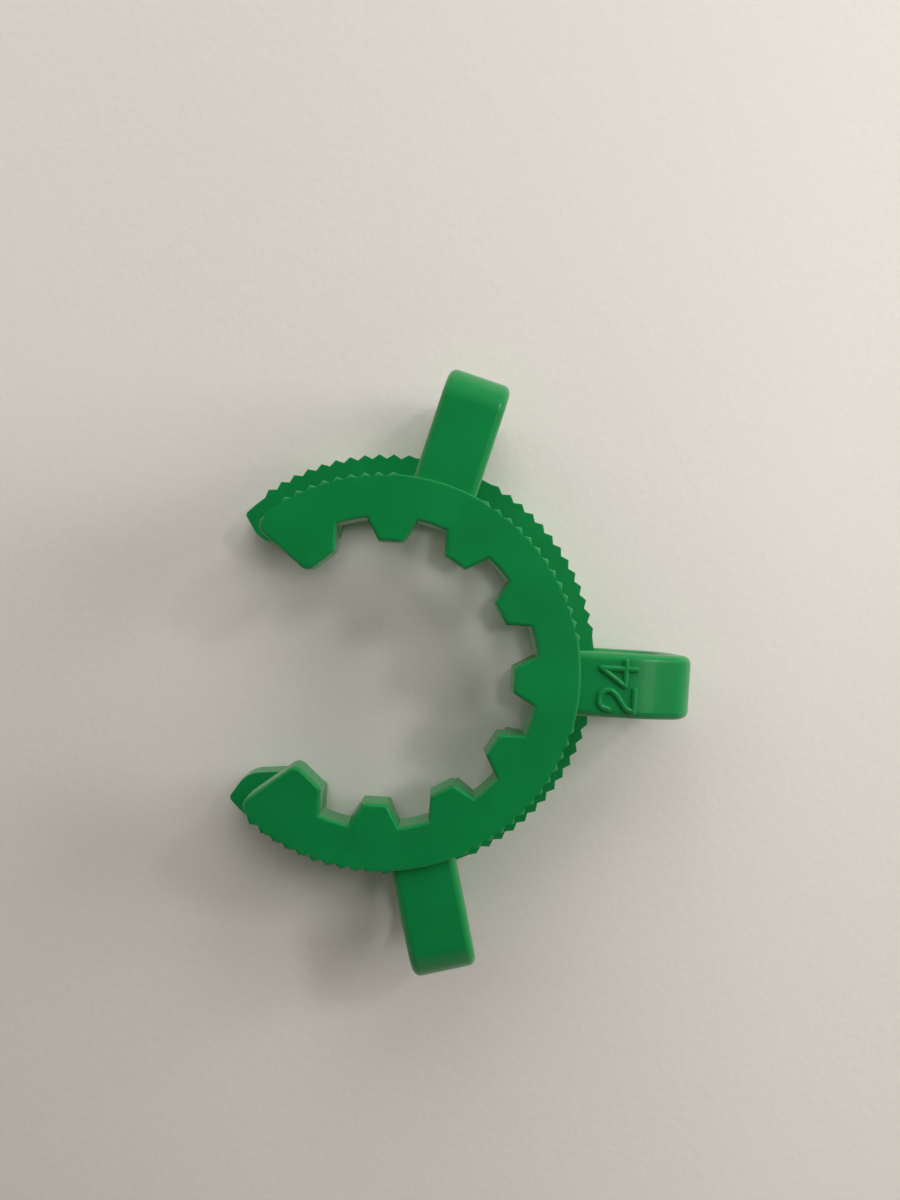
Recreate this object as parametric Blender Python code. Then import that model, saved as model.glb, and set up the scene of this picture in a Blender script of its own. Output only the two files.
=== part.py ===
"""Clip for ground glass joints, moulded in one piece from acetal.

Two open, toothed rings lie one above the other and are joined by three U-shaped spring loops.
The small ring grips the neck of the inner joint and the large ring grips the outer joint behind
its rim, and the loops pull the two together.

The ring axis runs along Z, the mouth of both rings opens towards -X and the middle loop stands
out towards +X. The part lies on the large ring, and its origin is under the middle of its box.
Lengths are in millimetres and angles in degrees up to build_mesh, which makes metres.
"""

import math
from dataclasses import dataclass
from itertools import combinations

import bmesh
import bpy
from mathutils import Matrix

MM = 0.001

# Driving dimensions of the whole clip
HEIGHT = 13.3
RING_THICKNESS = 3.5
LOOP_REACH = 29.0

# Inner teeth, the same seven places on both rings
TOOTH_ANGLES = (90, 60, 30, 0)
TOOTH_TIP_WIDTH = 2.25
TOOTH_BASE_WIDTH = 4.60

# Outer serrations
CREST_PITCH = 4.0
SERRATION_DEPTH = 0.45
PLAIN_WALL_DEPTH = 0.20

# Edges of the rings: the rim of the outside face, and how much of that the edges of its teeth lose
RIM_ROUND = 0.40
TOOTH_EDGE_SHARE = 0.75
ROUND_STEPS = 3

# Spring loops
LOOP_ANGLES = (0, 75, -75)
LOOP_WIDTH = 6.05
LOOP_TAPER = 0.07
LOOP_WALL = 2.20
LOOP_SETBACK = 0.60
LOOP_NOSE_ROUND = 3.20
LOOP_EDGE_ROUND = 0.75
BURIED_LENGTH = 2.40

ARC_STEP = 15.0


@dataclass(frozen=True)
class Ring:
    """One toothed ring: its radii, its place and the plan of its end lugs."""

    base: float
    tooth_radius: float
    root_radius: float
    crest_radius: float
    crest_banks: tuple
    end_angle: float
    lug_corners: tuple
    rounded_face: int

    @property
    def wall_radius(self):
        return self.crest_radius - SERRATION_DEPTH


# A crest bank is its first crest's angle and its number of crests. A lug corner is x, y and its rounding.
SMALL_RING = Ring(
    base=HEIGHT - RING_THICKNESS,
    tooth_radius=11.95,
    root_radius=14.15,
    crest_radius=18.28,
    crest_banks=((13.8, 13), (90.6, 9)),
    end_angle=130.5,
    lug_corners=((-12.5, 12.7, 1.0), (-7.4, 8.7, 0.9), (-5.0, 10.8, 0.5)),
    rounded_face=1,
)
LARGE_RING = Ring(
    base=0.0,
    tooth_radius=14.0,
    root_radius=16.8,
    crest_radius=21.17,
    crest_banks=((13.3, 13), (87.4, 11)),
    end_angle=134.0,
    lug_corners=((-15.05, 14.25, 0.5), (-13.4, 11.7, 2.5), (-8.3, 11.2, 0.9), (-5.5, 12.9, 0.5)),
    rounded_face=-1,
)


def polar(radius, angle):
    turn = math.radians(angle)
    return radius * math.cos(turn), radius * math.sin(turn)


def arc(radius, start, end, step):
    """Points on a circle about the ring axis, both ends included."""
    count = max(1, round(abs(end - start) / step))
    return [polar(radius, start + (end - start) * i / count) for i in range(count + 1)]


def round_corner(before, corner, after, radius):
    """Points of the arc that rounds a corner between two straight edges."""
    to_before = math.atan2(before[1] - corner[1], before[0] - corner[0])
    to_after = math.atan2(after[1] - corner[1], after[0] - corner[0])
    opening = math.remainder(to_after - to_before, math.tau)
    half = abs(opening) / 2
    middle = to_before + opening / 2
    centre = [corner[k] + radius / math.sin(half) * f(middle) for k, f in enumerate((math.cos, math.sin))]
    count = max(1, round(math.degrees(math.pi - 2 * half) / ARC_STEP))
    sweep = math.copysign(math.pi / 2 - half, opening)
    return [
        (
            centre[0] - radius * math.cos(middle + sweep * (1 - 2 * i / count)),
            centre[1] - radius * math.sin(middle + sweep * (1 - 2 * i / count)),
        )
        for i in range(count + 1)
    ]


def rounded_path(start, corners, end):
    """Points along a path whose corners are given as x, y and rounding."""
    places = [start, *(corner[:2] for corner in corners), end]
    points = []
    for i, (_, _, radius) in enumerate(corners):
        points += round_corner(places[i], places[i + 1], places[i + 2], radius)
    return points


def serrated_wall(ring):
    """Outer wall from the middle loop round to the end of the ring, on the +Y side."""
    plain = ring.crest_radius - PLAIN_WALL_DEPTH
    half_pitch = CREST_PITCH / 2
    points = []
    angle = 0.0
    for first, count in ring.crest_banks:
        points += arc(plain, angle, first - half_pitch, CREST_PITCH)
        for i in range(count):
            crest = first + CREST_PITCH * i
            points.append(polar(ring.crest_radius, crest))
            if i < count - 1:
                points.append(polar(ring.wall_radius, crest + half_pitch))
        angle = crest + half_pitch
    return points + arc(ring.wall_radius, angle, ring.end_angle, CREST_PITCH)


def toothed_wall(ring):
    """Inner wall from the lug back to the middle tooth, on the +Y side."""
    lug_face_x = ring.lug_corners[-1][0]
    lug_angle = math.degrees(math.acos(lug_face_x / ring.root_radius))
    tooth_half = math.degrees(math.asin(TOOTH_BASE_WIDTH / 2 / ring.root_radius))
    points = []
    angle = lug_angle
    for tooth in TOOTH_ANGLES:
        points += arc(ring.root_radius, angle, tooth + tooth_half, ARC_STEP / 2)
        turn = math.radians(tooth)
        for side in (1, -1):
            across = side * TOOTH_TIP_WIDTH / 2
            points.append(
                (
                    ring.tooth_radius * math.cos(turn) - across * math.sin(turn),
                    ring.tooth_radius * math.sin(turn) + across * math.cos(turn),
                )
            )
        angle = tooth - tooth_half
    return points[:-1]


def ring_outline(ring):
    """Outer and inner points of the whole ring, anticlockwise from the end on the -Y side."""
    outer = serrated_wall(ring)
    inner = toothed_wall(ring)
    lug = rounded_path(outer[-1], ring.lug_corners, inner[0])
    lug_and_teeth = lug + inner
    mirrored_outer = [(x, -y) for x, y in reversed(outer[1:])]
    mirrored_inner = [(x, -y) for x, y in reversed(lug_and_teeth)]
    return mirrored_outer + outer, lug_and_teeth + mirrored_inner


def inward(points, i):
    """Direction into the material at a corner of an anticlockwise outline, with its mitre length."""
    (ax, ay), (bx, by), (cx, cy) = points[i - 1], points[i], points[(i + 1) % len(points)]
    first = math.hypot(bx - ax, by - ay)
    second = math.hypot(cx - bx, cy - by)
    n1 = (-(by - ay) / first, (bx - ax) / first)
    n2 = (-(cy - by) / second, (cx - bx) / second)
    share = 1 + n1[0] * n2[0] + n1[1] * n2[1]
    return (n1[0] + n2[0]) / share, (n1[1] + n2[1]) / share


def build_mesh(name, fill):
    """New object whose mesh the given function fills, in millimetres."""
    mesh = bpy.data.meshes.new(name)
    bm = bmesh.new()
    fill(bm)
    bmesh.ops.transform(bm, matrix=Matrix.Scale(MM, 4), verts=bm.verts)
    bmesh.ops.recalc_face_normals(bm, faces=bm.faces)
    bmesh.ops.triangulate(bm, faces=[face for face in bm.faces if len(face.verts) > 4])
    bm.to_mesh(mesh)
    bm.free()
    obj = bpy.data.objects.new(name, mesh)
    bpy.context.scene.collection.objects.link(obj)
    return obj


def extruded(bm, face):
    """Extrudes a face in place and returns the new one, whose vertices keep their order."""
    inside = any(len(edge.link_faces) > 1 for edge in face.edges)
    made = bmesh.ops.extrude_face_region(bm, geom=[face])["geom"]
    if inside:
        bmesh.ops.delete(bm, geom=[face], context="FACES_ONLY")
    return next(item for item in made if isinstance(item, bmesh.types.BMFace))


def drawn_in(plan, outer_count, ring, inset):
    """Plan of a ring where its rim is drawn in: crests go first, and the teeth lose a smaller edge."""
    points = []
    for i, (x, y) in enumerate(plan):
        if i < outer_count:
            shrink = min(1, (ring.crest_radius - inset) / math.hypot(x, y))
            points.append((x * shrink, y * shrink))
        else:
            nx, ny = inward(plan, i)
            points.append((x + nx * inset * TOOTH_EDGE_SHARE, y + ny * inset * TOOTH_EDGE_SHARE))
    return points


def turn_of(a, b, c):
    """Above zero where the path through three points turns left."""
    return (b[0] - a[0]) * (c[1] - a[1]) - (b[1] - a[1]) * (c[0] - a[0])


def crosses_itself(outline):
    """Whether two sides of a closed outline cross, which would fold the face inside it over the bore."""
    sides = [(outline[i - 1], outline[i]) for i in range(len(outline))]
    return any(
        turn_of(a, b, c) * turn_of(a, b, d) < 0 and turn_of(c, d, a) * turn_of(c, d, b) < 0
        for (a, b), (c, d) in combinations(sides, 2)
    )


def fill_ring(bm, ring):
    """Ring extruded from its plan, with a rounded rim on its outside face and sharp edges on the other."""
    outer, inner = ring_outline(ring)
    plan = outer + inner
    middle = ring.base + RING_THICKNESS / 2
    gap_side = middle - ring.rounded_face * RING_THICKNESS / 2
    face = bm.faces.new([bm.verts.new((x, y, gap_side)) for x, y in plan])
    for step in range(ROUND_STEPS + 1):
        turn = math.pi / 2 * step / ROUND_STEPS
        inset = RIM_ROUND * (1 - math.cos(turn))
        z = middle + ring.rounded_face * (RING_THICKNESS / 2 - RIM_ROUND * (1 - math.sin(turn)))
        outline = drawn_in(plan, len(outer), ring, inset)
        if crosses_itself(outline):
            raise ValueError(f"the ring at {ring.base} mm crosses itself at inset {inset:.2f} mm")
        face = extruded(bm, face)
        for vert, (x, y) in zip(face.verts, outline):
            vert.co = (x, y, z)


def fill_loop(bm, angle):
    """Spring loop: a U in side view, from the small ring out to the nose and back to the large ring."""
    top = HEIGHT - LOOP_SETBACK
    bottom = LOOP_SETBACK
    upper_end = SMALL_RING.wall_radius - BURIED_LENGTH
    lower_end = LARGE_RING.wall_radius - BURIED_LENGTH
    slot_round = LOOP_NOSE_ROUND - LOOP_WALL / 2
    nose = [(LOOP_REACH, bottom, LOOP_NOSE_ROUND), (LOOP_REACH, top, LOOP_NOSE_ROUND)]
    slot_end = LOOP_REACH - LOOP_WALL
    slot = [(slot_end, top - LOOP_WALL, slot_round), (slot_end, bottom + LOOP_WALL, slot_round)]
    side = [(lower_end, bottom)]
    side += rounded_path((lower_end, bottom), nose, (upper_end, top))
    side += [(upper_end, top), (upper_end, top - LOOP_WALL)]
    side += rounded_path((upper_end, top - LOOP_WALL), slot, (lower_end, bottom + LOOP_WALL))
    side += [(lower_end, bottom + LOOP_WALL)]
    near = bm.faces.new([bm.verts.new((r, -LOOP_WIDTH / 2, z)) for r, z in side])
    far = extruded(bm, near)
    bmesh.ops.translate(bm, verts=far.verts, vec=(0, LOOP_WIDTH, 0))
    bmesh.ops.recalc_face_normals(bm, faces=bm.faces)
    edges = {edge for edge in bm.edges if abs(edge.verts[0].co.y - edge.verts[1].co.y) < 0.01}
    bmesh.ops.bevel(
        bm, geom=list(edges), offset=LOOP_EDGE_ROUND, segments=ROUND_STEPS, profile=0.5, affect="EDGES"
    )
    for vert in bm.verts:
        vert.co.y *= 1 - LOOP_TAPER * (top - vert.co.z) / (top - bottom)
    turn = Matrix.Rotation(math.radians(angle), 3, "Z")
    bmesh.ops.rotate(bm, verts=bm.verts, cent=(0, 0, 0), matrix=turn)


def unite(target, helper):
    """Adds a helper's solid to the target and hides the helper."""
    join = target.modifiers.new("join_" + helper.name, "BOOLEAN")
    join.operation = "UNION"
    join.solver = "EXACT"
    join.object = helper
    helper.hide_render = True
    helper.display_type = "WIRE"
    helper.parent = target


def acetal():
    """Green moulded acetal, half gloss."""
    material = bpy.data.materials.new("green_acetal")
    material.use_nodes = True
    shader = material.node_tree.nodes["Principled BSDF"]
    shader.inputs["Base Color"].default_value = (0.005, 0.165, 0.048, 1)
    shader.inputs["Roughness"].default_value = 0.35
    shader.inputs["Metallic"].default_value = 0.0
    return material


def main():
    for obj in list(bpy.data.objects):
        bpy.data.objects.remove(obj, do_unlink=True)
    clip = build_mesh("joint_clip", lambda bm: fill_ring(bm, LARGE_RING))
    for angle in LOOP_ANGLES:
        unite(clip, build_mesh(f"loop_at_{angle % 360}", lambda bm: fill_loop(bm, angle)))
    unite(clip, build_mesh("small_ring", lambda bm: fill_ring(bm, SMALL_RING)))
    clip.data.materials.append(acetal())
    clip.data.shade_smooth()
    clip.data.set_sharp_from_angle(angle=math.radians(30))
    mouth_end = min(x for x, y in sum(ring_outline(LARGE_RING), []))
    clip.location.x = -(LOOP_REACH + mouth_end) / 2 * MM


main()
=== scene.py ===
"""Looks of the ground glass joint clip: one green acetal moulding that lies on a pale floor.

Two toothed, open rings lie one above the other and three U-shaped spring loops join them. The
middle loop carries the raised joint size. Each ring, loop and numeral is modelled by itself and
then fused into one body, as the real clip is one shot of plastic. Lengths are in millimetres and
angles in degrees, measured from the ring axis, up to the moment a piece is put in its place.
"""

import logging
import math
from dataclasses import dataclass
from enum import Enum
from typing import Any, Callable, Iterable, Sequence

import bmesh
import bpy
from mathutils import Euler, Matrix, Vector


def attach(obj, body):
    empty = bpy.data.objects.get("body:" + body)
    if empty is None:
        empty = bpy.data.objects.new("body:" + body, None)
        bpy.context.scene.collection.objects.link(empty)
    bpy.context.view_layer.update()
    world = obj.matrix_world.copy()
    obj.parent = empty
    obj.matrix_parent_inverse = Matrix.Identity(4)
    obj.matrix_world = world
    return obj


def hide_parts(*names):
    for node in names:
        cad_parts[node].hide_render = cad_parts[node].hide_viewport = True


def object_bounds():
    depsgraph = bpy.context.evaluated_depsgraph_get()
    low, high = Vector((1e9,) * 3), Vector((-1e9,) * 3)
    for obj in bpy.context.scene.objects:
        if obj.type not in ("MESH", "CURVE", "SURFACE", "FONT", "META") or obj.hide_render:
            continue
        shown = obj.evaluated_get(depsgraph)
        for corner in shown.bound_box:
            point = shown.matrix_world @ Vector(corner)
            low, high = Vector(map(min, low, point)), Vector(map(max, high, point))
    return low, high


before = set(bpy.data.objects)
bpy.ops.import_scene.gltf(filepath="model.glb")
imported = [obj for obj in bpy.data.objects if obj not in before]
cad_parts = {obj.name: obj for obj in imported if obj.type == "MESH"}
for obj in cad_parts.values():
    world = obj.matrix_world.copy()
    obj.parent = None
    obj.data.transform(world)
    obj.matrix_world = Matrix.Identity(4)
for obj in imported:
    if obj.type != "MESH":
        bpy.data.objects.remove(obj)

Point = tuple[float, float]
Place = tuple[float, float, float]

LOG = logging.getLogger("joint_clip")
MM = 0.001
BODY = "root"
CAD_NODE = "joint_clip"

HEIGHT = 13.3
RING_THICKNESS = 3.5
LOOP_REACH = 29.0
LOOP_SETBACK = 0.60
# Points nearer than this are merged once the parts are fused. A reach of 0.005 also merges points
# of the narrow flat strip near the tips of the lugs, and two small faces there shade wrongly.
SLIVER = 0.002

CAD_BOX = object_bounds()
AXIS_X = CAD_BOX[1].x / MM - LOOP_REACH


# ---------------------------------------------------------------- drawing


def polar(radius: float, angle: float) -> Point:
    """Point at a radius and an angle about the ring axis.

    Args:
        radius: Distance from the axis.
        angle: Degrees from the middle loop.

    Returns:
        The point's x and y.
    """
    turn = math.radians(angle)
    return radius * math.cos(turn), radius * math.sin(turn)


def arc(radius: float, start: float, end: float, step: float) -> list[Point]:
    """Points on a circle about the ring axis, both ends included.

    Args:
        radius: Radius of the circle.
        start: First angle.
        end: Last angle.
        step: Angle between points, as near as whole steps allow.

    Returns:
        The points in order.
    """
    count = max(1, round(abs(end - start) / step))
    return [polar(radius, start + (end - start) * i / count) for i in range(count + 1)]


def round_corner(
    before: Point, corner: Point, after: Point, radius: float, step: float
) -> list[Point]:
    """Rounds the corner between two straight edges.

    Args:
        before: A point on the edge that comes in.
        corner: The sharp corner.
        after: A point on the edge that goes out.
        radius: Radius of the rounding.
        step: Degrees between its points.

    Returns:
        The points of the rounding, in order.
    """
    to_before = math.atan2(before[1] - corner[1], before[0] - corner[0])
    to_after = math.atan2(after[1] - corner[1], after[0] - corner[0])
    opening = math.remainder(to_after - to_before, math.tau)
    half = abs(opening) / 2
    middle = to_before + opening / 2
    reach = radius / math.sin(half)
    centre = (corner[0] + reach * math.cos(middle), corner[1] + reach * math.sin(middle))
    count = max(1, round(math.degrees(math.pi - 2 * half) / step))
    sweep = math.copysign(math.pi / 2 - half, opening)
    turns = [middle + sweep * (1 - 2 * i / count) for i in range(count + 1)]
    return [(centre[0] - radius * math.cos(t), centre[1] - radius * math.sin(t)) for t in turns]


def rounded_path(start: Point, corners: Sequence[Place], end: Point, step: float) -> list[Point]:
    """Path with rounded corners, without its two ends.

    Args:
        start: Where the path comes from.
        corners: Each corner's two coordinates and its rounding.
        end: Where the path goes.
        step: Degrees between the points of a rounding.

    Returns:
        The points in order.
    """
    places = [start, *(corner[:2] for corner in corners), end]
    points: list[Point] = []
    for i, corner in enumerate(corners):
        points += round_corner(places[i], places[i + 1], places[i + 2], corner[2], step)
    return points


def inward(points: Sequence[Point], i: int) -> Point:
    """Mitred direction into the material at a corner of an anticlockwise outline.

    Args:
        points: The outline.
        i: Which corner.

    Returns:
        The direction, longer where the corner is sharper.
    """
    (ax, ay), (bx, by), (cx, cy) = points[i - 1], points[i], points[(i + 1) % len(points)]
    first = math.hypot(bx - ax, by - ay)
    second = math.hypot(cx - bx, cy - by)
    n1 = (-(by - ay) / first, (bx - ax) / first)
    n2 = (-(cy - by) / second, (cx - bx) / second)
    share = 1 + n1[0] * n2[0] + n1[1] * n2[1]
    return (n1[0] + n2[0]) / share, (n1[1] + n2[1]) / share


# ---------------------------------------------------------------- bench


def pick_only(obj: bpy.types.Object) -> None:
    """Selects one object, and nothing else, and makes it active."""
    bpy.ops.object.select_all(action="DESELECT")
    obj.select_set(True)
    bpy.context.view_layer.objects.active = obj


def disc(name: str, places: Sequence[Place]) -> bpy.types.Object:
    """Starts a solid from a disc whose rim is drawn out to a closed outline.

    Args:
        name: Name of the new object.
        places: The outline's points, in order.

    Returns:
        The object, a single face.
    """
    bpy.ops.object.select_all(action="DESELECT")
    bpy.ops.mesh.primitive_circle_add(vertices=len(places), radius=1.0, fill_type="NGON")
    obj = bpy.context.object
    obj.name = obj.data.name = name
    for vert, place in zip(obj.data.vertices, places):
        vert.co = place
    return obj


def edit(obj: bpy.types.Object, work: Callable[[bmesh.types.BMesh], None]) -> None:
    """Runs some work on an object in edit mode, with everything selected at first.

    Args:
        obj: The object to work on.
        work: What to do, given the mesh being edited.
    """
    pick_only(obj)
    bpy.ops.object.mode_set(mode="EDIT")
    bpy.ops.mesh.select_all(action="SELECT")
    work(bmesh.from_edit_mesh(obj.data))
    bpy.ops.object.mode_set(mode="OBJECT")


def close_up(_: bmesh.types.BMesh) -> None:
    """Turns all faces outwards and splits the many-sided ones, ready to be fused."""
    bpy.ops.mesh.select_all(action="SELECT")
    bpy.ops.mesh.normals_make_consistent(inside=False)
    bpy.ops.mesh.quads_convert_to_tris(quad_method="BEAUTY", ngon_method="BEAUTY")


def drop_slivers(_: bmesh.types.BMesh) -> None:
    """Merges the points that a fusing leaves too close together, and drops faces with no area.

    Which points merge depends on their order, and a fusing doesn't give the same order each run.
    So a few slivers, out of some 37000 faces, come out differently from one run to the next.
    """
    bpy.ops.mesh.remove_doubles(threshold=SLIVER)
    bpy.ops.mesh.select_all(action="SELECT")
    bpy.ops.mesh.dissolve_degenerate(threshold=SLIVER)


def finish_with(obj: bpy.types.Object, kind: str, **settings: Any) -> None:
    """Adds a modifier and applies it.

    Args:
        obj: The object it works on.
        kind: The modifier's type.
        **settings: The modifier's settings.
    """
    pick_only(obj)
    modifier = obj.modifiers.new(kind.lower(), kind)
    for key, value in settings.items():
        setattr(modifier, key, value)
    bpy.ops.object.modifier_apply(modifier=modifier.name)


def fuse(body: bpy.types.Object, other: bpy.types.Object) -> None:
    """Fuses another solid into the body and takes it away."""
    finish_with(body, "BOOLEAN", operation="UNION", solver="EXACT", object=other)
    bpy.data.objects.remove(other, do_unlink=True)


# ---------------------------------------------------------------- rings


class RoundedFace(Enum):
    """Which face of a ring has the rounded rim: the one that looks away from the gap."""

    UPPER = 1
    LOWER = -1


@dataclass(frozen=True)
class ToothedRing:
    """An open ring with teeth inside, serrations outside and a rounded lug at each end.

    A crest bank is its first crest's angle and its number of crests. A lug corner is x, y and
    its rounding.
    """

    name: str
    base: float
    tooth_radius: float
    root_radius: float
    crest_radius: float
    crest_banks: tuple[tuple[float, int], ...]
    end_angle: float
    lug_corners: tuple[Place, ...]
    rounded: RoundedFace
    tooth_angles: tuple[float, ...] = (90, 60, 30, 0)
    tooth_tip: float = 2.25
    tooth_base: float = 4.60
    crest_pitch: float = 4.0
    serration_depth: float = 0.45
    plain_depth: float = 0.20
    rim_round: float = 0.40
    tooth_edge_share: float = 0.75
    round_steps: int = 5
    arc_step: float = 3.0
    corner_step: float = 9.0
    flat_margin: float = 0.06

    def outer_wall(self) -> list[Point]:
        """Outer wall on the +Y side, from the middle loop to the end of the ring."""
        plain = self.crest_radius - self.plain_depth
        valley = self.crest_radius - self.serration_depth
        half = self.crest_pitch / 2
        points: list[Point] = []
        angle = 0.0
        for first, count in self.crest_banks:
            points += arc(plain, angle, first - half, self.arc_step)
            for i in range(count):
                crest = first + self.crest_pitch * i
                points.append(polar(self.crest_radius, crest))
                if i < count - 1:
                    points.append(polar(valley, crest + half))
            angle = crest + half
        return points + arc(valley, angle, self.end_angle, self.arc_step)

    def inner_wall(self) -> list[Point]:
        """Inner wall on the +Y side, from the lug back to the middle tooth."""
        angle = math.degrees(math.acos(self.lug_corners[-1][0] / self.root_radius))
        half = math.degrees(math.asin(self.tooth_base / 2 / self.root_radius))
        points: list[Point] = []
        for tooth in self.tooth_angles:
            points += arc(self.root_radius, angle, tooth + half, self.arc_step)
            turn = math.radians(tooth)
            for side in (1, -1):
                across = side * self.tooth_tip / 2
                points.append(
                    (
                        self.tooth_radius * math.cos(turn) - across * math.sin(turn),
                        self.tooth_radius * math.sin(turn) + across * math.cos(turn),
                    )
                )
            angle = tooth - half
        return points[:-1]

    def plan(self) -> tuple[list[Point], int]:
        """Whole outline, anticlockwise from the end on the -Y side.

        Returns:
            The outline and how many of its points are on the outer wall.
        """
        outer = self.outer_wall()
        inner = self.inner_wall()
        lug = rounded_path(outer[-1], self.lug_corners, inner[0], self.corner_step)
        inside = lug + inner
        outside = [(x, -y) for x, y in reversed(outer[1:])] + outer
        return outside + inside + [(x, -y) for x, y in reversed(inside)], len(outside)

    def drawn_in(self, plan: Sequence[Point], outer: int, inset: float) -> list[Point]:
        """Outline where the rim is drawn in: crests fade first, and teeth lose a smaller edge.

        Args:
            plan: The full outline.
            outer: How many of its points are on the outer wall.
            inset: How far the rim is drawn in here.

        Returns:
            The outline at this level.
        """
        points: list[Point] = []
        for i, (x, y) in enumerate(plan):
            if i < outer:
                shrink = min(1.0, (self.crest_radius - inset) / math.hypot(x, y))
                points.append((x * shrink, y * shrink))
            else:
                nx, ny = inward(plan, i)
                share = inset * self.tooth_edge_share
                points.append((x + nx * share, y + ny * share))
        return points

    def rim_levels(self) -> list[tuple[float, float]]:
        """Levels up the rounding of the rim, and a last one just inside it on the flat.

        The last one makes a narrow flat strip, which keeps the broad face flat to the light.

        Returns:
            How far each level is drawn in, and how far it lies below the face.
        """
        levels: list[tuple[float, float]] = []
        for step in range(self.round_steps + 1):
            turn = math.pi / 2 * step / self.round_steps
            inset = self.rim_round * (1 - math.cos(turn))
            drop = self.rim_round * (1 - math.sin(turn))
            levels.append((inset, drop))
        return levels + [(self.rim_round + self.flat_margin, 0.0)]

    def build(self) -> bpy.types.Object:
        """Raises the ring from its outline, level by level up the rounded rim.

        Returns:
            The closed ring.
        """
        plan, outer = self.plan()
        facing = self.rounded.value
        middle = self.base + RING_THICKNESS / 2
        gap_side = middle - facing * RING_THICKNESS / 2
        ring = disc(self.name, [(x, y, gap_side) for x, y in plan])

        def raise_rim(mesh: bmesh.types.BMesh) -> None:
            outline = list(plan)
            for inset, drop in self.rim_levels():
                z = middle + facing * (RING_THICKNESS / 2 - drop)
                bpy.ops.mesh.extrude_region_move()
                mesh.verts.ensure_lookup_table()
                level = self.drawn_in(plan, outer, inset)
                for vert in [v for v in mesh.verts if v.select]:
                    at = min(range(len(outline)), key=lambda i: math.dist(outline[i], vert.co[:2]))
                    vert.co = (*level[at], z)
                bmesh.update_edit_mesh(ring.data)
                outline = level

        edit(ring, raise_rim)
        edit(ring, close_up)
        return ring


# ---------------------------------------------------------------- spring loops


@dataclass(frozen=True)
class SpringLoop:
    """A flat U-shaped strap that runs from the small ring out to its nose and back underneath.

    The top of the stepped one curves down to a crease and then slopes on to the nose.
    """

    name: str
    angle: float
    upper_end: float
    lower_end: float
    stepped: bool = False
    width: float = 6.05
    taper: float = 0.07
    wall: float = 2.20
    setback: float = LOOP_SETBACK
    nose_round: float = 3.20
    edge_round: float = 0.75
    edge_steps: int = 6
    arc_step: float = 6.0
    ramp_start: float = 22.6
    crease: float = 25.25
    ramp_drop: float = 0.28
    ramp_steps: int = 8
    end_slope: float = 15.0
    end_round: float = 2.6

    def ramp(self, top: float) -> list[Point]:
        """Top of the strap where it curves down to its crease, from the crease back to the ring.

        Args:
            top: Height of the strap's top.

        Returns:
            Radius and height of each point, empty on a plain strap.
        """
        if not self.stepped:
            return []
        points: list[Point] = []
        for i in range(self.ramp_steps + 1):
            share = 1 - i / self.ramp_steps
            reach = self.ramp_start + (self.crease - self.ramp_start) * share
            points.append((reach, top - self.ramp_drop * share**2))
        return points

    def side(self) -> list[Point]:
        """Radius and height of the strap's outline, seen from its side."""
        top = HEIGHT - self.setback
        bottom = self.setback
        tip = (LOOP_REACH, top, self.nose_round)
        flat_end = (self.upper_end, top)
        if self.stepped:
            low = top - self.ramp_drop
            fall = (LOOP_REACH - self.crease) * math.tan(math.radians(self.end_slope))
            tip = (LOOP_REACH, low - fall, self.end_round)
            flat_end = (self.crease, low)
        slot_round = self.nose_round - self.wall / 2
        slot_end = LOOP_REACH - self.wall
        lower = (self.lower_end, bottom)
        lower_inside = (self.lower_end, bottom + self.wall)
        upper_under = (self.upper_end, top - self.wall)
        nose = [(LOOP_REACH, bottom, self.nose_round), tip]
        slot = [(slot_end, top - self.wall, slot_round), (slot_end, bottom + self.wall, slot_round)]
        outline = [lower]
        outline += rounded_path(lower, nose, flat_end, self.arc_step)
        outline += self.ramp(top)
        outline += [(self.upper_end, top), upper_under]
        outline += rounded_path(upper_under, slot, lower_inside, self.arc_step)
        return outline + [lower_inside]

    def build(self) -> bpy.types.Object:
        """Draws the side view, pulls it out to the strap's width and rounds its long edges.

        Returns:
            The closed strap, turned to its place about the ring axis.
        """
        half = self.width / 2
        top = HEIGHT - self.setback
        strap = disc(self.name, [(r, -half, z) for r, z in self.side()])

        def shape(mesh: bmesh.types.BMesh) -> None:
            bpy.ops.mesh.extrude_region_move(TRANSFORM_OT_translate={"value": (0, self.width, 0)})
            bpy.ops.mesh.select_all(action="SELECT")
            bpy.ops.mesh.normals_make_consistent(inside=False)
            bpy.ops.mesh.select_all(action="DESELECT")
            bpy.ops.mesh.select_mode(type="EDGE")
            for edge in mesh.edges:
                edge.select_set(abs(edge.verts[0].co.y - edge.verts[1].co.y) < half)
            bmesh.update_edit_mesh(strap.data)
            bpy.ops.mesh.bevel(
                offset=self.edge_round, segments=self.edge_steps, profile=0.5, affect="EDGES"
            )
            bpy.ops.mesh.select_mode(type="VERT")

        edit(strap, shape)
        edit(strap, close_up)
        for vert in strap.data.vertices:
            vert.co.y *= 1 - self.taper * (top - vert.co.z) / (top - self.setback)
        strap.data.transform(Matrix.Rotation(math.radians(self.angle), 4, "Z"))
        return strap


# ---------------------------------------------------------------- joint size


class Bend(Enum):
    """How a stroke of a numeral passes through its points."""

    STRAIGHT = "VECTOR"
    CURVED = "AUTO"


@dataclass(frozen=True)
class Stroke:
    """One stroke of a numeral: the points it passes and how it bends."""

    points: tuple[Point, ...]
    bend: Bend


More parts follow.
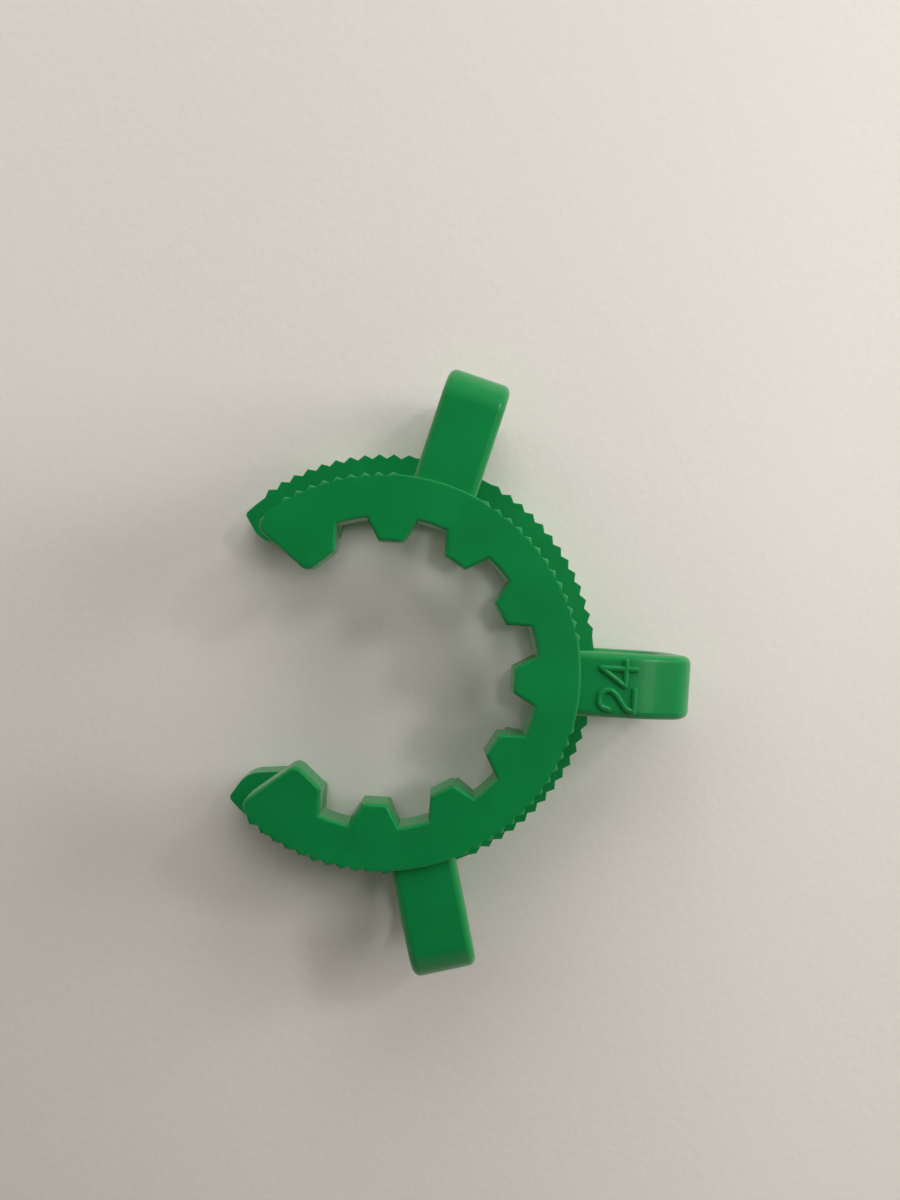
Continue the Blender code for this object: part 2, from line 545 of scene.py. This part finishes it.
@dataclass(frozen=True)
class JointSize:
    """The joint size on the middle loop, in raised numerals with round-nosed strokes."""

    name: str = "joint_size"
    surface: float = HEIGHT - LOOP_SETBACK
    stroke_radius: float = 0.27
    raised: float = 0.30
    voxel: float = 0.045
    bar_resolution: int = 5
    ball_segments: int = 20
    ball_rings: int = 12
    four: tuple[Stroke, ...] = (
        Stroke(((23.20, 1.60), (19.96, 1.60)), Bend.STRAIGHT),
        Stroke(((19.96, 1.60), (22.22, 0.04)), Bend.STRAIGHT),
        Stroke(((22.25, 0.04), (22.25, 2.28)), Bend.STRAIGHT),
    )
    two: tuple[Stroke, ...] = (
        Stroke(
            (
                (20.84, -2.15),
                (20.09, -1.86),
                (19.94, -1.18),
                (20.17, -0.63),
                (20.84, -0.40),
                (21.39, -0.71),
                (21.96, -1.44),
                (22.46, -2.02),
                (23.08, -2.28),
            ),
            Bend.CURVED,
        ),
        Stroke(((23.15, -2.28), (23.15, -0.30)), Bend.STRAIGHT),
    )

    def cut(self, stroke: Stroke) -> list[bpy.types.Object]:
        """Makes one stroke as a round bar with a ball at each end.

        Args:
            stroke: The stroke to make.

        Returns:
            The bar and its two balls.
        """
        z = self.surface + self.raised - self.stroke_radius
        bpy.ops.object.select_all(action="DESELECT")
        bpy.ops.curve.primitive_bezier_curve_add()
        bar = bpy.context.object
        bar.data.bevel_depth = self.stroke_radius
        bar.data.bevel_resolution = self.bar_resolution
        bar.data.use_fill_caps = True
        spline = bar.data.splines[0]
        spline.bezier_points.add(len(stroke.points) - len(spline.bezier_points))
        for knot, (x, y) in zip(spline.bezier_points, stroke.points):
            knot.co = (x, y, z)
            knot.handle_left_type = knot.handle_right_type = stroke.bend.value
        bpy.ops.object.convert(target="MESH")
        made = [bpy.context.object]
        for x, y in (stroke.points[0], stroke.points[-1]):
            bpy.ops.mesh.primitive_uv_sphere_add(
                segments=self.ball_segments,
                ring_count=self.ball_rings,
                radius=self.stroke_radius,
                location=(x, y, z),
            )
            made.append(bpy.context.object)
        return made

    def build(self) -> bpy.types.Object:
        """Makes all strokes and melts them into soft-edged numerals.

        Returns:
            The numerals, sunk a little into the strap they stand on.
        """
        made = [piece for stroke in self.four + self.two for piece in self.cut(stroke)]
        bpy.ops.object.select_all(action="DESELECT")
        for piece in made:
            piece.select_set(True)
        bpy.context.view_layer.objects.active = made[0]
        bpy.ops.object.join()
        numerals = bpy.context.object
        numerals.name = numerals.data.name = self.name
        pick_only(numerals)
        bpy.ops.object.transform_apply(location=True, rotation=True, scale=True)
        finish_with(numerals, "REMESH", mode="VOXEL", voxel_size=self.voxel)
        finish_with(numerals, "SMOOTH", factor=0.5, iterations=3)
        edit(numerals, close_up)
        return numerals


# ---------------------------------------------------------------- finishes


def linear(colour: str) -> tuple[float, float, float, float]:
    """Turns an sRGB hex colour to linear.

    Args:
        colour: Six hex digits after a hash.

    Returns:
        Linear red, green and blue, and full alpha.
    """
    parts = [int(colour[i : i + 2], 16) / 255 for i in (1, 3, 5)]
    red, green, blue = (p / 12.92 if p <= 0.04045 else ((p + 0.055) / 1.055) ** 2.4 for p in parts)
    return red, green, blue, 1.0


def add_node(
    tree: bpy.types.NodeTree,
    kind: str,
    settings: dict[str, Any] | None = None,
    inputs: dict[str | int, Any] | None = None,
) -> bpy.types.Node:
    """Adds a node with its settings and links.

    Args:
        tree: The node tree it goes in.
        kind: The node's type, without its prefix.
        settings: The node's own properties.
        inputs: For each socket, a value or the output that feeds it.

    Returns:
        The node.
    """
    made = tree.nodes.new("ShaderNode" + kind)
    for key, value in (settings or {}).items():
        setattr(made, key, value)
    for key, value in (inputs or {}).items():
        if isinstance(value, bpy.types.NodeSocket):
            tree.links.new(value, made.inputs[key])
        else:
            made.inputs[key].default_value = value
    return made


def new_tree(name: str) -> tuple[bpy.types.Material, bpy.types.NodeTree]:
    """Makes an empty material.

    Args:
        name: Name of the material.

    Returns:
        The material and its node tree.
    """
    material = bpy.data.materials.new(name)
    material.use_nodes = True
    material.node_tree.nodes.clear()
    return material, material.node_tree


def per_size(millimetres: float) -> float:
    """Scale of a pattern whose features are this many millimetres across."""
    return 1 / (millimetres * MM)


@dataclass(frozen=True)
class MouldedAcetal:
    """Green moulded acetal: waxy half gloss, a little light let in, faint flow mottling."""

    deep: str = "#0D7F3F"
    light: str = "#108E49"
    # Pale speck colour, for real dust and for painted glints of tiny nicks
    dust_and_glint: str = "#2FA862"
    roughness: tuple[float, float] = (0.285, 0.315)
    ior: float = 1.48
    mottle_mm: float = 5.0
    cloud_mm: float = 1.2
    dust_and_glint_mm: float = 1.6
    peel_mm: float = 0.35
    peel_height_mm: float = 0.006
    let_in: float = 0.14
    let_in_mm: float = 1.4
    cloud_share: float = 0.15
    mottle_span: tuple[float, float] = (0.20, 0.95)
    cloud_span: tuple[float, float] = (0.3, 0.7)
    dust_and_glint_span: tuple[float, float] = (0.05, 0.02)
    dust_and_glint_strength: float = 0.6

    def build(self) -> bpy.types.Material:
        """Makes the material.

        Returns:
            The material, which reads Object coordinates.
        """
        material, tree = new_tree("green_moulded_acetal")
        place = add_node(tree, "TexCoord").outputs["Object"]
        # Slow flow of the melt gives wide patches of slightly lighter and deeper green
        mottle = add_node(
            tree,
            "TexNoise",
            {},
            {"Vector": place, "Scale": per_size(self.mottle_mm), "Detail": 1.5},
        )
        cloud = add_node(
            tree,
            "TexNoise",
            {},
            {"Vector": place, "Scale": per_size(self.cloud_mm), "Detail": 1.0},
        )
        mixed = add_node(
            tree,
            "Math",
            {"operation": "MULTIPLY_ADD"},
            {0: cloud.outputs["Fac"], 1: self.cloud_share, 2: mottle.outputs["Fac"]},
        )
        spread = add_node(
            tree,
            "MapRange",
            {},
            {
                "Value": mixed.outputs[0],
                "From Min": self.mottle_span[0],
                "From Max": self.mottle_span[1],
            },
        )
        green = add_node(
            tree,
            "Mix",
            {"data_type": "RGBA"},
            {0: spread.outputs[0], 6: linear(self.deep), 7: linear(self.light)},
        )
        # Pale specks scattered at random: real dust, and painted glints where tiny nicks catch the
        # light
        dust_and_glint_cells = add_node(
            tree,
            "TexVoronoi",
            {"feature": "F1"},
            {"Vector": place, "Scale": per_size(self.dust_and_glint_mm)},
        )
        dust_and_glint_dots = add_node(
            tree,
            "MapRange",
            {},
            {
                "Value": dust_and_glint_cells.outputs["Distance"],
                "From Min": self.dust_and_glint_span[0],
                "From Max": self.dust_and_glint_span[1],
                "To Max": self.dust_and_glint_strength,
            },
        )
        colour = add_node(
            tree,
            "Mix",
            {"data_type": "RGBA"},
            {0: dust_and_glint_dots.outputs[0], 6: green.outputs[2], 7: linear(self.dust_and_glint)},
        )
        # The same clouding shifts the gloss a very little, so that wide faces aren't dead even
        gloss = add_node(
            tree,
            "MapRange",
            {},
            {
                "Value": cloud.outputs["Fac"],
                "From Min": self.cloud_span[0],
                "From Max": self.cloud_span[1],
                "To Min": self.roughness[0],
                "To Max": self.roughness[1],
            },
        )
        # The polished mould leaves a very slight peel
        peel = add_node(
            tree, "TexNoise", {}, {"Vector": place, "Scale": per_size(self.peel_mm), "Detail": 2.0}
        )
        bump = add_node(
            tree,
            "Bump",
            {},
            {"Height": peel.outputs["Fac"], "Distance": self.peel_height_mm * MM, "Strength": 1.0},
        )
        shader = add_node(
            tree,
            "BsdfPrincipled",
            {},
            {
                "Base Color": colour.outputs[2],
                "Roughness": gloss.outputs[0],
                "Normal": bump.outputs[0],
                "IOR": self.ior,
                "Subsurface Weight": self.let_in,
                "Subsurface Radius": (0.3, 1.0, 0.4),
                "Subsurface Scale": self.let_in_mm * MM,
            },
        )
        add_node(tree, "OutputMaterial", {}, {"Surface": shader.outputs[0]})
        return material


@dataclass(frozen=True)
class UncoatedPaper:
    """Uncoated drawing paper: matt, warm white, with a faint felt mark."""

    shade: str = "#E9E6DF"
    grain_mm: float = 0.9
    grain_height_mm: float = 0.03
    roughness: float = 0.9
    shine: float = 0.2

    def build(self) -> bpy.types.Material:
        """Makes the material.

        Returns:
            The material, which reads Object coordinates.
        """
        material, tree = new_tree("uncoated_paper")
        place = add_node(tree, "TexCoord").outputs["Object"]
        grain = add_node(
            tree, "TexNoise", {}, {"Vector": place, "Scale": per_size(self.grain_mm), "Detail": 4.0}
        )
        bump = add_node(
            tree,
            "Bump",
            {},
            {
                "Height": grain.outputs["Fac"],
                "Distance": self.grain_height_mm * MM,
                "Strength": 1.0,
            },
        )
        shader = add_node(
            tree,
            "BsdfPrincipled",
            {},
            {
                "Base Color": linear(self.shade),
                "Roughness": self.roughness,
                "Specular IOR Level": self.shine,
                "Normal": bump.outputs[0],
            },
        )
        add_node(tree, "OutputMaterial", {}, {"Surface": shader.outputs[0]})
        return material


# ---------------------------------------------------------------- the clip


@dataclass(frozen=True)
class JointClip:
    """The whole clip: two rings, three loops and the joint size, fused into one body."""

    rings: tuple[ToothedRing, ...] = (
        ToothedRing(
            name="large_ring",
            base=0.0,
            tooth_radius=14.0,
            root_radius=16.8,
            crest_radius=21.17,
            crest_banks=((13.3, 13), (87.4, 11)),
            end_angle=134.0,
            lug_corners=(
                (-15.05, 14.25, 0.5),
                (-13.4, 11.7, 2.5),
                (-8.3, 11.2, 0.9),
                (-5.5, 12.9, 0.5),
            ),
            rounded=RoundedFace.LOWER,
        ),
        ToothedRing(
            name="small_ring",
            base=HEIGHT - RING_THICKNESS,
            tooth_radius=11.95,
            root_radius=14.15,
            crest_radius=18.28,
            crest_banks=((13.8, 13), (90.6, 9)),
            end_angle=130.5,
            lug_corners=((-12.5, 12.7, 1.0), (-7.4, 8.7, 0.9), (-5.0, 10.8, 0.5)),
            rounded=RoundedFace.UPPER,
        ),
    )
    loops: tuple[SpringLoop, ...] = (
        SpringLoop("middle_loop", 0.0, 15.43, 18.32, stepped=True),
        SpringLoop("left_loop", 75.0, 15.43, 18.32),
        SpringLoop("right_loop", -75.0, 15.43, 18.32),
    )
    size_mark: JointSize = JointSize()
    finish: MouldedAcetal = MouldedAcetal()
    smooth_angle: float = 28.0

    def build(self) -> bpy.types.Object:
        """Builds every part of the clip and fuses them.

        Returns:
            The finished body, in metres and in its place.
        """
        body = self.rings[0].build()
        for part in (*self.loops, self.rings[1], self.size_mark):
            made = part.build()
            LOG.info("%s: %d faces", made.name, len(made.data.polygons))
            fuse(body, made)
        edit(body, drop_slivers)
        edit(body, close_up)
        body.name = body.data.name = "moulded_clip"
        body.data.transform(Matrix.Scale(MM, 4) @ Matrix.Translation((AXIS_X, 0, 0)))
        return body

    def dress(self, body: bpy.types.Object) -> None:
        """Smooths the body, gives it its finish and ties it to the frame.

        Args:
            body: The finished body.
        """
        pick_only(body)
        bpy.ops.object.shade_smooth_by_angle(angle=math.radians(self.smooth_angle))
        finish_with(body, "WEIGHTED_NORMAL", keep_sharp=True)
        body.data.materials.clear()
        body.data.materials.append(self.finish.build())
        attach(body, BODY)
        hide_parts(CAD_NODE)


# ---------------------------------------------------------------- the studio


class Shine(Enum):
    """Whether a light shows as a highlight on the clip, or only lights it."""

    MIRRORED = True
    HIDDEN = False


@dataclass(frozen=True)
class SoftBox:
    """A square soft light that points at the clip."""

    name: str
    place: Place
    width: float
    watts: float
    shine: Shine
    tint: str = "#FFFBFA"

    def build(self) -> bpy.types.Object:
        """Hangs the light.

        Returns:
            The light.
        """
        bpy.ops.object.light_add(type="AREA", location=self.place)
        lamp = bpy.context.object
        lamp.name = self.name
        lamp.data.size = self.width
        lamp.data.energy = self.watts
        lamp.data.color = linear(self.tint)[:3]
        lamp.visible_camera = False
        lamp.visible_glossy = self.shine.value
        lamp.rotation_euler = (-Vector(self.place)).to_track_quat("-Z", "Y").to_euler()
        return lamp


@dataclass(frozen=True)
class Studio:
    """Pale floor that curves up into a backdrop, soft lights, and a dark card over the clip."""

    floor_radius: float = 0.60
    sweep_radius: float = 0.35
    wall_height: float = 0.80
    sweep_steps: int = 10
    room_tint: str = "#E6E8E8"
    room_strength: float = 0.05
    boxes: tuple[SoftBox, ...] = (
        SoftBox("window", (0.32, 0.28, 0.42), 0.075, 0.48, Shine.MIRRORED),
        SoftBox("window_wall", (0.54, 0.16, 0.21), 0.28, 1.85, Shine.HIDDEN),
        SoftBox("far_wall", (0.05, 0.58, 0.42), 0.60, 3.00, Shine.HIDDEN),
        SoftBox("left_wall", (-0.38, 0.42, 0.42), 0.55, 0.80, Shine.HIDDEN),
        SoftBox("skylight", (0.265, 0.03, 0.54), 0.22, 0.42, Shine.MIRRORED),
    )
    card_size: Point = (0.10, 0.18)
    card_place: Point = (0.012, -0.005)
    card_height: float = 0.112
    camera_place: Place = (-0.00380, 0.00788, 0.10138)
    camera_turn: Place = (-0.68, -1.55, 3.46)
    lens: float = 29.13
    sensor: float = 36.0
    near_clip: float = 0.002
    floor_sides: int = 96
    card_shade: str = "#1A1A1A"
    card_roughness: float = 0.8
    smooth_angle: float = 30.0

    def lay_floor(self) -> None:
        """Lays a round floor under the clip and sweeps its rim up into a wall all round."""
        bpy.ops.object.select_all(action="DESELECT")
        bpy.ops.mesh.primitive_circle_add(
            vertices=self.floor_sides, radius=self.floor_radius, fill_type="NGON"
        )
        floor = bpy.context.object
        floor.name = "floor"
        turns = [math.pi / 2 * (i + 1) / self.sweep_steps for i in range(self.sweep_steps)]
        rims = [
            (
                self.floor_radius + self.sweep_radius * math.sin(turn),
                self.sweep_radius * (1 - math.cos(turn)),
            )
            for turn in turns
        ]
        rims.append((rims[-1][0], self.wall_height))

        def sweep(mesh: bmesh.types.BMesh) -> None:
            bpy.ops.mesh.select_mode(type="EDGE")
            for radius, height in rims:
                for edge in mesh.edges:
                    edge.select_set(edge.is_boundary)
                bmesh.update_edit_mesh(floor.data)
                bpy.ops.mesh.extrude_edges_move()
                for vert in [v for v in mesh.verts if v.select]:
                    across = vert.co.to_2d().normalized() * radius
                    vert.co = (*across, height)
                bmesh.update_edit_mesh(floor.data)

        edit(floor, sweep)
        bpy.ops.object.shade_smooth_by_angle(angle=math.radians(self.smooth_angle))
        floor.data.materials.append(UncoatedPaper().build())

    def hang_card(self) -> None:
        """Hangs the dark card that keeps light off the top faces, unseen by the camera."""
        bpy.ops.object.select_all(action="DESELECT")
        bpy.ops.mesh.primitive_plane_add(size=1.0, location=(*self.card_place, self.card_height))
        card = bpy.context.object
        card.name = "dark_card"
        card.scale = (*self.card_size, 1)
        bpy.ops.object.transform_apply(location=False, rotation=False, scale=True)
        card.visible_camera = False
        material, tree = new_tree("black_card")
        shader = add_node(
            tree,
            "BsdfPrincipled",
            {},
            {"Base Color": linear(self.card_shade), "Roughness": self.card_roughness},
        )
        add_node(tree, "OutputMaterial", {}, {"Surface": shader.outputs[0]})
        card.data.materials.append(material)

    def set_room(self) -> None:
        """Sets the even light of the room and plain colour rendering."""
        world = bpy.data.worlds.new("room")
        world.use_nodes = True
        air = world.node_tree.nodes["Background"]
        air.inputs["Color"].default_value = linear(self.room_tint)
        air.inputs["Strength"].default_value = self.room_strength
        bpy.context.scene.world = world
        bpy.context.scene.view_settings.view_transform = "Standard"

    def set_camera(self) -> None:
        """Stands the camera straight above the clip, a hand's breadth away."""
        bpy.ops.object.camera_add(location=self.camera_place)
        camera = bpy.context.object
        camera.rotation_euler = Euler([math.radians(turn) for turn in self.camera_turn], "XYZ")
        camera.data.lens = self.lens
        camera.data.sensor_width = self.sensor
        camera.data.sensor_fit = "AUTO"
        camera.data.clip_start = self.near_clip
        bpy.context.scene.camera = camera

    def build(self) -> None:
        """Sets up floor, lights, room and camera."""
        self.lay_floor()
        self.hang_card()
        for box in self.boxes:
            box.build()
        self.set_room()
        self.set_camera()


def corners(box: Iterable[Vector]) -> list[list[float]]:
    """Lowest and highest corner of a box as plain lists."""
    return [[round(value, 6) for value in corner] for corner in box]


def main() -> None:
    """Builds the clip and the studio."""
    logging.basicConfig(level=logging.INFO, format="%(name)s: %(message)s")
    clip = JointClip()
    body = clip.build()
    clip.dress(body)
    LOG.info("%s: %d faces", body.name, len(body.data.polygons))
    Studio().build()


if __name__ == "__main__":
    main()
